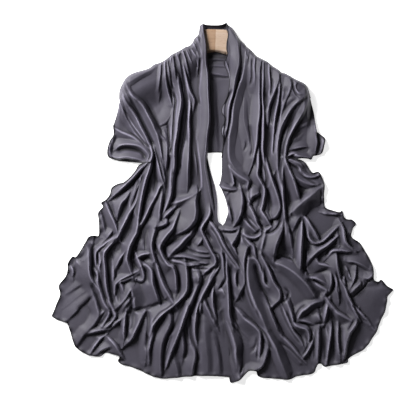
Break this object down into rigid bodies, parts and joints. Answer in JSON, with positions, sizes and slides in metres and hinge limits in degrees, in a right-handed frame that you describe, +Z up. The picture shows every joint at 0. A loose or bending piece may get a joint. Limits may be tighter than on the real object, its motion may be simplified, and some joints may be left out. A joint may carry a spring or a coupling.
{
  "type": "jersey hijab laid over a clothes hanger",
  "caption": "Charcoal jersey hijab laid flat, its middle behind a wooden hanger's neck, both halves forward over the shoulders, gathered under the arms and fanned out to a wavy hem",
  "frame": {"origin": "middle of the outline, on the surface that the cloth lies on", "axes": "+Z up from the surface to someone who looks down on the front, +Y towards the neck, +X to the viewer's right"},
  "size_m": [0.818, 0.8599, 0.0311],
  "materials": {
    "charcoal_jersey": "soft knit jersey with a faint bloom",
    "lacquered_beech": "clear satin lacquer"
  },
  "bodies": {
    "root": {"back_panel": "charcoal_jersey", "left_yoke": "charcoal_jersey", "right_yoke": "charcoal_jersey", "left_fan": "charcoal_jersey", "right_fan": "charcoal_jersey", "hanger_left_arm": "lacquered_beech", "hanger_right_arm": "lacquered_beech"}
  },
  "joints": []
}
